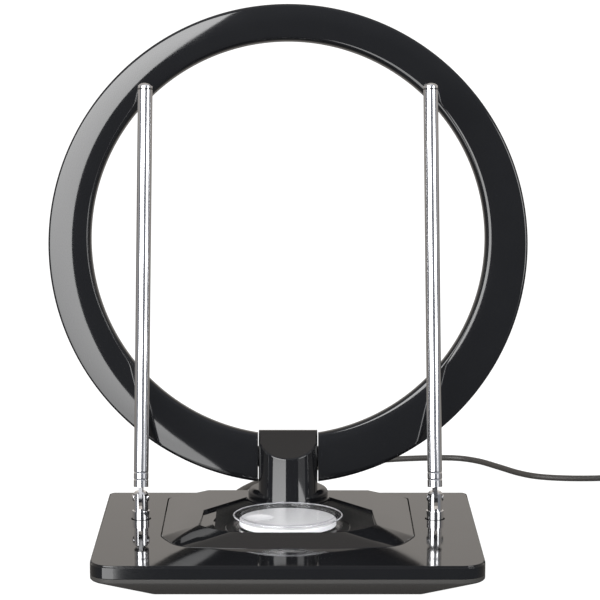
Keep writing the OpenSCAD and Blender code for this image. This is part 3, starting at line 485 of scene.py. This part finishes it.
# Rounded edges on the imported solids: width of the round in millimetres
EDGE_ROUNDS = {
    "base_top_cover": 0.25,
    "base_bottom_cover": 0.3,
    "centre_platform": 0.35,
}
SMALL_ROUND = 0.12
EXACT_SLOTS = ("chrome", "clear", "white_plastic")
WELD = 1e-6
FLAT_ANGLE = 0.3
SHARP_ANGLE = 40.0
EDGE_ANGLE = 15.0
NORMAL_WEIGHT = 50
ROUND_SEGMENTS = 2


def smooth_shading():
    """A modifier's node group that shades faces smooth."""
    group = bpy.data.node_groups.new("smooth_shading", "GeometryNodeTree")
    for way in ("INPUT", "OUTPUT"):
        group.interface.new_socket("Geometry", in_out=way, socket_type="NodeSocketGeometry")
    start = add_node(group, "NodeGroupInput")
    smooth = add_node(group, "GeometryNodeSetShadeSmooth")
    end = add_node(group, "NodeGroupOutput")
    group.links.new(start.outputs["Geometry"], smooth.inputs["Geometry"])
    group.links.new(smooth.outputs["Geometry"], end.inputs["Geometry"])
    return group


def soften(piece, width, shading):
    """Joins the solid's faces, clears the triangles of its flat faces and rounds its edges."""
    piece.modifiers.new("weld", "WELD").merge_threshold = WELD
    flat = piece.modifiers.new("flat", "DECIMATE")
    flat.decimate_type = "DISSOLVE"
    flat.angle_limit = math.radians(FLAT_ANGLE)
    piece.modifiers.new("smooth", "NODES").node_group = shading
    edge = piece.modifiers.new("edge", "BEVEL")
    edge.width = width * MM
    edge.segments = ROUND_SEGMENTS
    edge.limit_method = "ANGLE"
    edge.angle_limit = math.radians(EDGE_ANGLE)
    edge.use_clamp_overlap = False
    edge.miter_outer = "MITER_ARC"
    edge.face_strength_mode = "FSTR_ALL"
    normals = piece.modifiers.new("normals", "WEIGHTED_NORMAL")
    normals.use_face_influence = True
    normals.keep_sharp = False
    normals.weight = NORMAL_WEIGHT


def dress_solids():
    shading = smooth_shading()
    for row in frame["record"]["subparts"]:
        piece = nodes[row["node"]]
        wear(piece, row["material_slot"])
        if row["material_slot"] not in EXACT_SLOTS:
            soften(piece, EDGE_ROUNDS.get(row["node"], SMALL_ROUND), shading)


# Knob with its painted highlight ring and painted shade in its well, painted shade in the seams under the rods'
# tips, collar and neck

def arc(middle, radius, start, end, steps):
    """Points of an arc about a place in the section, from one angle in degrees to another."""
    turns = [math.radians(start + (end - start) * i / steps) for i in range(steps + 1)]
    return [(middle[0] + radius * math.cos(t), middle[1] + radius * math.sin(t)) for t in turns]


def add_piece(name, points, faces, slot, body):
    piece = mesh_object(name, points, faces)
    piece.data.set_sharp_from_angle(angle=math.radians(SHARP_ANGLE))
    wear(piece, slot)
    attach(piece, body)
    return piece


def strip_faces(columns, rows, closed):
    """Faces of a grid of points, column by column; a closed one joins its last column to its first."""
    faces = []
    for column in range(columns if closed else columns - 1):
        for row in range(rows - 1):
            a = column * rows + row
            b = (column + 1) % columns * rows + row
            faces.append((a, b, b + 1, a + 1))
    return faces


def end_faces(columns, rows):
    """Flat faces over the first row and the last row of a grid of points."""
    first = tuple(column * rows for column in reversed(range(columns)))
    last = tuple(column * rows + rows - 1 for column in range(columns))
    return [first, last]


def round_turns(columns):
    """Angles of evenly spaced columns round a circle."""
    return [2 * math.pi * column / columns for column in range(columns)]


def lathe(name, middle_y, section, height_at, slot, body, ends=True):
    """Turns a section of radius and height about an upright line, with flat ends or none."""
    points = []
    for turn in round_turns(LATHE_COLUMNS):
        for radius, z in section:
            x = radius * math.cos(turn)
            y = middle_y + radius * math.sin(turn)
            points.append(Vector((x, y, height_at(x, y, z))) * MM)
    rows = len(section)
    faces = strip_faces(LATHE_COLUMNS, rows, True)
    if ends:
        faces += end_faces(LATHE_COLUMNS, rows)
    return add_piece(name, points, faces, slot, body)


def plain_height(_x, _y, z):
    return z


def dimpled_height(x, y, z):
    """Sinks the knob's face in a round hollow for a finger."""
    if z != KNOB_FACE:
        return z
    hollow_r = (DIMPLE_R ** 2 + DIMPLE_DEPTH ** 2) / (2 * DIMPLE_DEPTH)
    away = math.hypot(x - DIMPLE[0], y - DIMPLE[1])
    return z - max(math.sqrt(hollow_r ** 2 - min(away, DIMPLE_R) ** 2) - hollow_r + DIMPLE_DEPTH, 0)


def knob_top():
    """The clear cap, with a raised rim and a dimpled face."""
    section = [(KNOB_MIDDLE_R, KNOB_UNDER), (KNOB_BORE_R, KNOB_UNDER)]
    section += [(KNOB_BORE_R, KNOB_FOOT), (KNOB_R, KNOB_FOOT)]
    section += arc((KNOB_R - KNOB_ROUND, KNOB_RIM - KNOB_ROUND), KNOB_ROUND, 0, 90, ROUND_ROWS)
    section += arc((KNOB_FACE_R + KNOB_ROUND, KNOB_RIM - KNOB_ROUND), KNOB_ROUND, 90, 180, ROUND_ROWS)
    section += [(KNOB_FACE_R * (1 - i / FACE_ROWS), KNOB_FACE) for i in range(FACE_ROWS)]
    return lathe("knob_top", KNOB_Y, section, dimpled_height, "clear", "knob")


def knob_insert():
    """The white cup that the clear cap is moulded over."""
    section = [(KNOB_MIDDLE_R, INSERT_UNDER), (INSERT_BORE_R, INSERT_UNDER)]
    section += [(INSERT_BORE_R, INSERT_FOOT), (INSERT_R, INSERT_FOOT)]
    section += arc((INSERT_R - INSERT_ROUND, INSERT_TOP - INSERT_ROUND), INSERT_ROUND, 0, 90, ROUND_ROWS)
    section.append((KNOB_MIDDLE_R, INSERT_TOP))
    return lathe("knob_insert", KNOB_Y, section, plain_height, "white_plastic", "knob")


def knob_rim_highlight():
    """A thin ring of painted highlight for the light line round the cap's rim."""
    section = arc((LINE_R, LINE_Z), LINE_HALF_W, 0, 360, LINE_STEPS)
    return lathe("knob_rim_highlight", KNOB_Y, section, plain_height, "clear", "knob", ends=False)


def tip_shade_ring(side):
    """A thin dark ring of painted shade where the rod's tip meets its tube."""
    along = Vector(joints[side + "_slide_5"]["axis"])
    middle = Vector(joint_place(side + "_rod_tilt")) + along * TIP_ALONG
    stand = Vector((0, 0, 1)).rotation_difference(along)
    points = []
    for turn in round_turns(TIP_COLUMNS):
        for radius, z in arc((TIP_R, 0), TIP_SHADE_R, 0, 360, TIP_ROWS):
            upright = Vector((radius * math.cos(turn), radius * math.sin(turn), z))
            points.append((middle + stand @ upright) * MM)
    faces = strip_faces(TIP_COLUMNS, TIP_ROWS + 1, True)
    add_piece(side + "_tip_shade_ring", points, faces, "matte_black", side + "_stage_5")


def recess_reach(turn):
    """How far the lining goes from the knob's middle: to the recess's edge, the disc or its left end."""
    way = Vector((math.cos(turn), math.sin(turn)))
    edge = list(RECESS_EDGE) + [(-x, y) for x, y in reversed(RECESS_EDGE)]
    places = [Vector((x, y - KNOB_Y)) for x, y in edge]
    reach = FAR
    for start, end in zip(places, places[1:] + places[:1]):
        side = end - start
        crossing = way.cross(side)
        if crossing > 0:
            away = start.cross(side) / crossing
            share = start.cross(way) / crossing
            if 0 <= share <= 1:
                reach = min(reach, away)
    to_disc = way.y * (DISC_Y - KNOB_Y)
    inside = to_disc ** 2 - (DISC_Y - KNOB_Y) ** 2 + DISC_LAND_R ** 2
    if to_disc > 0 and inside > 0:
        reach = min(reach, to_disc - math.sqrt(inside))
    if way.x < 0:
        reach = min(reach, WELL_LEFT_X / way.x)
    return reach - WELL_MARGIN


def knob_well_shade():
    """A sheet of painted shade on the floor of the recess and on the dish in it."""
    rings = (FAR, WELL_R, WELL_FLAT_R, WELL_INNER_R)
    points = []
    for turn in round_turns(WELL_COLUMNS):
        reach = recess_reach(turn)
        for row_r in rings:
            radius = min(row_r, reach)
            share = min(max((radius - WELL_FLAT_R) / (WELL_R - WELL_FLAT_R), 0), 1)
            z = WELL_Z + (RECESS_Z - WELL_Z) * share + WELL_LIFT
            points.append(Vector((radius * math.cos(turn), KNOB_Y + radius * math.sin(turn), z)) * MM)
    add_piece("knob_well_shade", points, strip_faces(WELL_COLUMNS, len(rings), True), "matte_black", "base")


def neck_collar():
    """A low collar: its section is a quarter of an ellipse over a short wall."""
    rise = DISC_TOP - DISC_FOOT - DISC_WALL
    section = [(DISC_INNER_R, DISC_FOOT), (DISC_R, DISC_FOOT)]
    for across, up in arc((0, 0), 1, 0, 90, 2 * ROUND_ROWS):
        section.append((DISC_R - DISC_ROUND * (1 - across), DISC_FOOT + DISC_WALL + rise * up))
    section.append((DISC_INNER_R, DISC_TOP))
    return lathe("neck_collar", DISC_Y, section, plain_height, "gloss_black", "neck")


def neck_outline():
    """The neck's outline round its front, from split to split: places and the directions it faces."""
    middle = (0, NECK_FRONT_Y + NECK_FRONT_R)
    round_x = NECK_HALF_W - NECK_SIDE_ROUND
    round_y = middle[1] - math.sqrt((NECK_FRONT_R - NECK_SIDE_ROUND) ** 2 - round_x ** 2)
    meet = math.degrees(math.atan2(round_y - middle[1], round_x))
    places = arc(middle, NECK_FRONT_R, -90, meet, NECK_ARC_STEPS)
    places += arc((round_x, round_y), NECK_SIDE_ROUND, meet, 0, NECK_ROUND_STEPS)[1:]
    facing = arc((0, 0), 1, -90, meet, NECK_ARC_STEPS) + arc((0, 0), 1, meet, 0, NECK_ROUND_STEPS)[1:]
    side_y = places[-1][1]
    for i in range(1, NECK_SIDE_STEPS + 1):
        places.append((NECK_HALF_W, side_y + (NECK_SPLIT_Y - side_y) * i / NECK_SIDE_STEPS))
        facing.append((1, 0))
    mirrored = [((-x, y), (-fx, fy)) for (x, y), (fx, fy) in zip(places, facing)]
    return mirrored[:0:-1] + list(zip(places, facing))


def neck_column(place, facing):
    """Points up the neck at one place of its outline: the leaning wall, the rounded edge and the slope."""
    x, y = place
    half_depth = (NECK_SPLIT_Y - NECK_FRONT_Y) / 2
    share = min((NECK_SPLIT_Y - y) / half_depth, 1)
    climb = -NECK_SLOPE * facing[1]
    edge_z = NECK_SLOPE_Z + NECK_SLOPE * (y - NECK_FRONT_Y)
    round_z = edge_z + climb * NECK_EDGE_R - NECK_EDGE_R * math.hypot(1, climb)
    section = [(0, NECK_FOOT + (round_z - NECK_FOOT) * i / NECK_WALL_ROWS) for i in range(NECK_WALL_ROWS)]
    last = 90 + math.degrees(math.atan(climb))
    section += arc((NECK_EDGE_R, round_z), NECK_EDGE_R, 180, last, NECK_ROUND_STEPS)
    inside, top = section[-1]
    section.append((inside + NECK_INSET, top + NECK_INSET * climb))
    points = []
    for inward, z in section:
        below = max(round_z - z, 0)
        forward = share * below * (math.tan(math.radians(NECK_LEAN)) + NECK_FLARE * below)
        points.append(Vector((x - facing[0] * inward, y - facing[1] * inward - forward, z)) * MM)
    return points


def neck_front():
    columns = [neck_column(place, facing) for place, facing in neck_outline()]
    rows = len(columns[0])
    count = len(columns)
    faces = strip_faces(count, rows, False) + end_faces(count, rows)
    back = list(range(rows)) + [(count - 1) * rows + row for row in reversed(range(rows))]
    faces.append(tuple(back))
    return add_piece("neck_front", sum(columns, []), faces, "gloss_black", "neck")


# Loop mouldings

def loop_point(x, y, z):
    """A point of the laid-out loop, in millimetres, as its place in metres."""
    turn = math.radians(90 - LOOP_LEAN)
    return Vector((
        HINGE[0] + x,
        HINGE[1] + y * math.cos(turn) - z * math.sin(turn),
        HINGE[2] + y * math.sin(turn) + z * math.cos(turn),
    )) * MM


def soft_min(a, b, width):
    """The lesser of two values, blended where they are less than width apart."""
    share = max(width - abs(a - b), 0) / width
    return min(a, b) - share * share * width / 4


def loop_rows(dome_r, inner_round):
    """Rows from the seam outside to the seam inside: the circle's rise, its radius and a rule for z."""
    dome_z = LOOP_HALF_T - dome_r
    run = LOOP_R - LOOP_EDGE_R - CREST_R
    edge_z = dome_z + math.sqrt((dome_r - LOOP_EDGE_R) ** 2 - run ** 2)
    edge_turn = math.atan2(edge_z - dome_z, run)
    round_r = HOLE_R + inner_round
    round_z = dome_z + math.sqrt((dome_r - inner_round) ** 2 - (CREST_R - round_r) ** 2)
    round_turn = math.atan2(round_z - dome_z, round_r - CREST_R)

    def dome(distance):
        return dome_z + math.sqrt(dome_r ** 2 - (distance - CREST_R) ** 2)

    def rounded(distance, from_hole):
        past = from_hole - round_r - inner_round * math.cos(round_turn)
        if past > 0:
            height = round_z + inner_round * math.sin(round_turn) - past / math.tan(round_turn)
        else:
            height = round_z + math.sqrt(max(inner_round ** 2 - (round_r - from_hole) ** 2, 0))
        return soft_min(dome(distance), height, inner_round * BLEND_SHARE)

    rows = [(0, LOOP_R - SEAM, 0.0), (0, LOOP_R, SEAM), (0, LOOP_R, edge_z / 2)]
    edge = arc((LOOP_R - LOOP_EDGE_R, edge_z), LOOP_EDGE_R, 0, math.degrees(edge_turn), ROUND_ROWS)
    rows += [(0, radius, z) for radius, z in edge]
    first_r = edge[-1][0]
    last_r = round_r + inner_round * math.cos(round_turn)
    for i in range(1, DOME_ROWS):
        share = i / DOME_ROWS
        rows.append((HOLE_UP * share, first_r + (last_r - first_r) * share, rounded))
    for i in range(ROUND_ROWS + 1):
        turn = round_turn + (math.pi - round_turn) * i / ROUND_ROWS
        rows.append((HOLE_UP, round_r + inner_round * math.cos(turn), rounded))
    rows += [(HOLE_UP, HOLE_R, round_z / 2), (HOLE_UP, HOLE_R, SEAM), (HOLE_UP, HOLE_R + SEAM, 0.0)]
    return rows


def loop_half(name, dome_r, inner_round, facing):
    """One moulding of the loop, closed at its seam and at its two ends by the neck."""
    rows = loop_rows(dome_r, inner_round)
    points = []
    for column in range(LOOP_COLUMNS + 1):
        for rise, radius, height in rows:
            gap = math.asin(LOOP_GAP / 2 / radius)
            turn = -math.pi / 2 + gap + (2 * math.pi - 2 * gap) * column / LOOP_COLUMNS
            x = radius * math.cos(turn)
            y = radius * math.sin(turn) + rise
            if callable(height):
                z = height(math.hypot(x, y), math.hypot(x, y - HOLE_UP))
            else:
                z = height
            points.append(loop_point(x, LOOP_UP + y, facing * z))
    count = len(rows)
    faces = []
    for column in range(LOOP_COLUMNS):
        for row in range(count):
            a = column * count + row
            b = column * count + (row + 1) % count
            faces.append((a, a + count, b + count, b)[::facing])
    end = LOOP_COLUMNS * count
    faces.append(tuple(range(count))[::facing])
    faces.append(tuple(range(end, end + count))[::-facing])
    return add_piece(name, points, faces, "gloss_black", "loop")


# Coax lead

def catmull_rom(a, b, c, d, t):
    """A smooth curve's point between b and c, at a share t of the way."""
    square = 2 * a - 5 * b + 4 * c - d
    cube = 3 * b - a - 3 * c + d
    return 0.5 * (2 * b + (c - a) * t + square * t * t + cube * t ** 3)


def cable_line():
    """Centre line of the lead in millimetres: out of the gland, over the floor and round the coil."""
    lift = CABLE_D / 2
    route = [Vector(GLAND_EXIT), Vector(GLAND_EXIT) + Vector((0, GLAND_RUN, 0))]
    route += [Vector((x, y, z + lift)) for x, y, z in ROUTE_FLOOR]
    line = []
    for i in range(len(route) - 1):
        before = route[max(i - 1, 0)]
        after = route[min(i + 2, len(route) - 1)]
        for step in range(ROUTE_STEPS):
            line.append(catmull_rom(before, route[i], route[i + 1], after, step / ROUTE_STEPS))
    line.append(route[-1])
    centre = Vector((route[-1].x + CABLE_D, route[-1].y - COIL_R, route[-1].z))
    inner_r = COIL_R - COIL_PITCH * COIL_TURNS
    reverse = 360 * COIL_TURNS
    steps = round((reverse + 360 * COIL_OUT_TURNS) / COIL_STEP)
    for i in range(steps + 1):
        angle = COIL_STEP * i
        radius = inner_r + COIL_PITCH * abs(angle - reverse) / 360
        share = min(max((angle - reverse) / COIL_CLIMB + 0.5, 0), 1)
        height = COIL_PITCH * (1 - math.cos(math.pi * share)) / 2
        turn = math.radians(angle)
        line.append(centre + Vector((radius * math.sin(turn), radius * math.cos(turn), height)))
    for step in range(COIL_TAIL_STEPS):
        line.append(line[-1].copy())
        line[-1].y = centre.y - COIL_TAIL * (step + 1) / COIL_TAIL_STEPS
    return line


def add_cable():
    line = cable_line()
    data = bpy.data.curves.new("coax_lead", "CURVE")
    data.dimensions = "3D"
    data.bevel_depth = CABLE_D / 2 * MM
    data.bevel_resolution = CABLE_ROUND_STEPS
    data.use_fill_caps = True
    spline = data.splines.new("POLY")
    spline.points.add(len(line) - 1)
    for point, place_mm in zip(spline.points, line):
        point.co = (*(place_mm * MM), 1)
        point.radius = 1
    lead = bpy.data.objects.new("coax_lead", data)
    bpy.context.scene.collection.objects.link(lead)
    wear(lead, "cable_jacket")
    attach(lead, "base")
    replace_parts(lead, "coax_cable", "cable_coil")


# Studio: a panel is two places on the plan, its two heights in metres and its brightness

FLOOR_HALF = 30.0
SUN_STRENGTH = 3.0
SUN_SPREAD = 150.0
SOFTBOX_LEFT = ((-0.138, -1.000), (-1.050, -0.700), (-0.40, 0.95), 10.8)
SOFTBOX_RIGHT = ((0.705, -0.941), (1.060, -0.533), (0.15, 0.80), 6.0)
SOFTBOX_LOW = ((0.705, -0.941), (1.060, -0.533), (-0.02, 0.15), 0.7)
FADE_HEIGHTS = (0.0, 0.7)
FADE_SHARE = 0.49
BACK_RAMP = [
    (0.0, 0.2), (0.45, 0.24), (0.55, 0.5), (0.60, 0.66),
    (0.63, 0.68), (0.67, 0.46), (0.9, 0.44), (1.0, 0.66),
]
FRONT_RAMP = [(0.0, 0.22), (0.5, 0.24), (0.65, 0.25), (1.0, 0.7)]
BACK_TINT = (1.0, 0.94, 0.88)
FRONT_TINT = (0.93, 0.98, 1.08)
ROOM_BLEND = 0.3


def add_floor():
    corners = [(sx * FLOOR_HALF, sy * FLOOR_HALF, 0) for sx, sy in ((-1, -1), (1, -1), (1, 1), (-1, 1))]
    floor = mesh_object("floor", corners, [(0, 1, 2, 3)], smooth=False)
    material, _, shader = new_material("floor_white", (0.1, 0.1, 0.1), 0.9, Specular_IOR_Level=0.0)
    set_inputs(shader, Emission_Color=(1, 1, 1, 1), Emission_Strength=1.0)
    floor.data.materials.append(material)
    floor.visible_glossy = False


def add_softbox(name, near, far, heights, radiance):
    """An upright panel between two places on the plan, facing the object."""
    wide = Vector((far[0] - near[0], far[1] - near[1], 0))
    tall = heights[1] - heights[0]
    data = bpy.data.lights.new(name, "AREA")
    data.shape = "RECTANGLE"
    data.size = wide.length
    data.size_y = tall
    data.energy = radiance * wide.length * tall * math.pi
    light = bpy.data.objects.new(name, data)
    middle = Vector(((near[0] + far[0]) / 2, (near[1] + far[1]) / 2, (heights[0] + heights[1]) / 2))
    across = wide.normalized()
    facing = Vector((-across.y, across.x, 0))
    if facing.dot(middle) > 0:
        across = -across
        facing = -facing
    light.rotation_euler = Matrix((across, (0, 0, 1), -facing)).transposed().to_euler()
    light.location = middle
    light.visible_camera = False
    bpy.context.scene.collection.objects.link(light)
    return data


def fade_softbox(data):
    """Dims a panel towards its lower end."""
    data.use_nodes = True
    tree = data.node_tree
    source = add_node(tree, "ShaderNodeNewGeometry")
    split = add_node(tree, "ShaderNodeSeparateXYZ")
    tree.links.new(source.outputs["Position"], split.inputs["Vector"])
    strength = spread(tree, split.outputs["Z"], FADE_SHARE, 1, *FADE_HEIGHTS)
    tree.links.new(strength, tree.nodes["Emission"].inputs["Strength"])


def add_sun():
    data = bpy.data.lights.new("overhead", "SUN")
    data.energy = SUN_STRENGTH
    data.angle = math.radians(SUN_SPREAD)
    light = bpy.data.objects.new("overhead", data)
    light.visible_glossy = False
    bpy.context.scene.collection.objects.link(light)


def ramp(tree, value, stops, color):
    made = add_node(tree, "ShaderNodeValToRGB")
    elements = made.color_ramp.elements
    while len(elements) < len(stops):
        elements.new(0.5)
    for element, (where, level) in zip(elements, stops):
        element.position = where
        element.color = (level * color[0], level * color[1], level * color[2], 1)
    tree.links.new(value, made.inputs["Fac"])
    return made.outputs["Color"]


def add_world():
    """White behind the object, and a soft room in what the glossy faces reflect."""
    world = bpy.data.worlds.new("studio")
    bpy.context.scene.world = world
    world.use_nodes = True
    tree = world.node_tree
    background = tree.nodes["Background"]
    source = add_node(tree, "ShaderNodeTexCoord")
    split = add_node(tree, "ShaderNodeSeparateXYZ")
    tree.links.new(source.outputs["Generated"], split.inputs["Vector"])
    rise = spread(tree, split.outputs["Z"], 0, 1, -1, 1)
    front, back, room = color_mix(tree, spread(tree, split.outputs["Y"], 0, 1, -ROOM_BLEND, ROOM_BLEND))
    tree.links.new(ramp(tree, rise, FRONT_RAMP, FRONT_TINT), front)
    tree.links.new(ramp(tree, rise, BACK_RAMP, BACK_TINT), back)
    path = add_node(tree, "ShaderNodeLightPath")
    reflected, direct, seen = color_mix(tree, path.outputs["Is Camera Ray"])
    tree.links.new(room, reflected)
    direct.default_value = (1, 1, 1, 1)
    tree.links.new(seen, background.inputs["Color"])


add_camera()
add_cable()
add_world()
add_floor()
add_sun()
fade_softbox(add_softbox("softbox_left", *SOFTBOX_LEFT))
add_softbox("softbox_right", *SOFTBOX_RIGHT)
add_softbox("softbox_low", *SOFTBOX_LOW)
bpy.context.scene.view_settings.view_transform = "Standard"
dress_solids()
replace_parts(knob_top(), "knob_cap")
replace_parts(knob_insert(), "knob_disc")
# painted highlight ring on the knob's rim
knob_rim_highlight()
# sheet of painted shade in the knob's well
knob_well_shade()
# rings of painted shade in the seams under the rods' tips
for rod_side in ("left", "right"):
    tip_shade_ring(rod_side)
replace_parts(neck_collar(), "turntable_disc")
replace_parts(neck_front(), "neck_front_shell")
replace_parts(loop_half("loop_front", FRONT_DOME_R, FRONT_INNER_ROUND, 1), "loop_front_shell")
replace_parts(loop_half("loop_rear", REAR_DOME_R, REAR_INNER_ROUND, -1), "loop_rear_shell")
